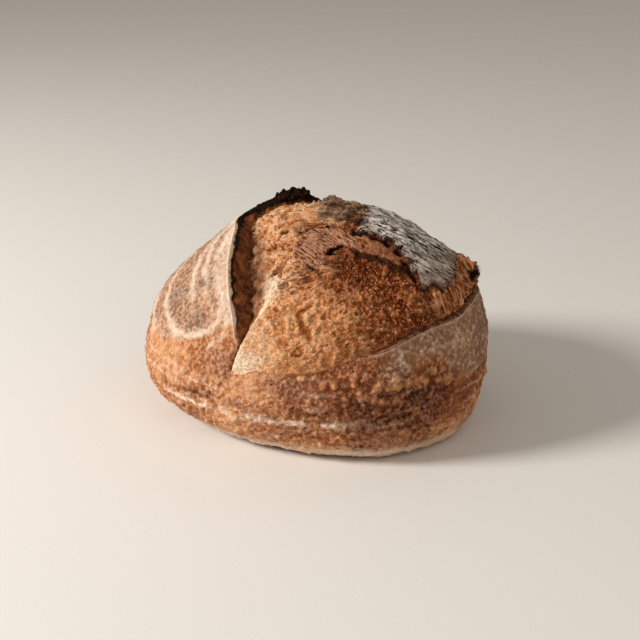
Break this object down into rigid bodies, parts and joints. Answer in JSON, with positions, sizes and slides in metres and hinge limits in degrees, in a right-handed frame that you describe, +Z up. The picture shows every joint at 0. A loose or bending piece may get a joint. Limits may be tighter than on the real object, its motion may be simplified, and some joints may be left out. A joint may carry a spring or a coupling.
{
  "type": "sourdough loaf",
  "caption": "Round sourdough loaf with a flat base, torn open along a long score with a raised ear, a rough bloom and a charred cap.",
  "frame": {"origin": "middle of the flat base, on the surface the loaf rests on", "axes": "+Z up; +X along the widest side, to the right of the torn opening's front; -Y towards the front, where the score begins"},
  "size_m": [0.214, 0.1984, 0.1319],
  "materials": {
    "crust": "matt baked crust, blistered, with rings of flour",
    "bloom": "torn golden to rust brown crust with a slight sheen",
    "char": "dry black burnt crust",
    "flour": "loose baked flour and crumbs"
  },
  "bodies": {
    "root": {"loaf": "crust"}
  },
  "joints": []
}
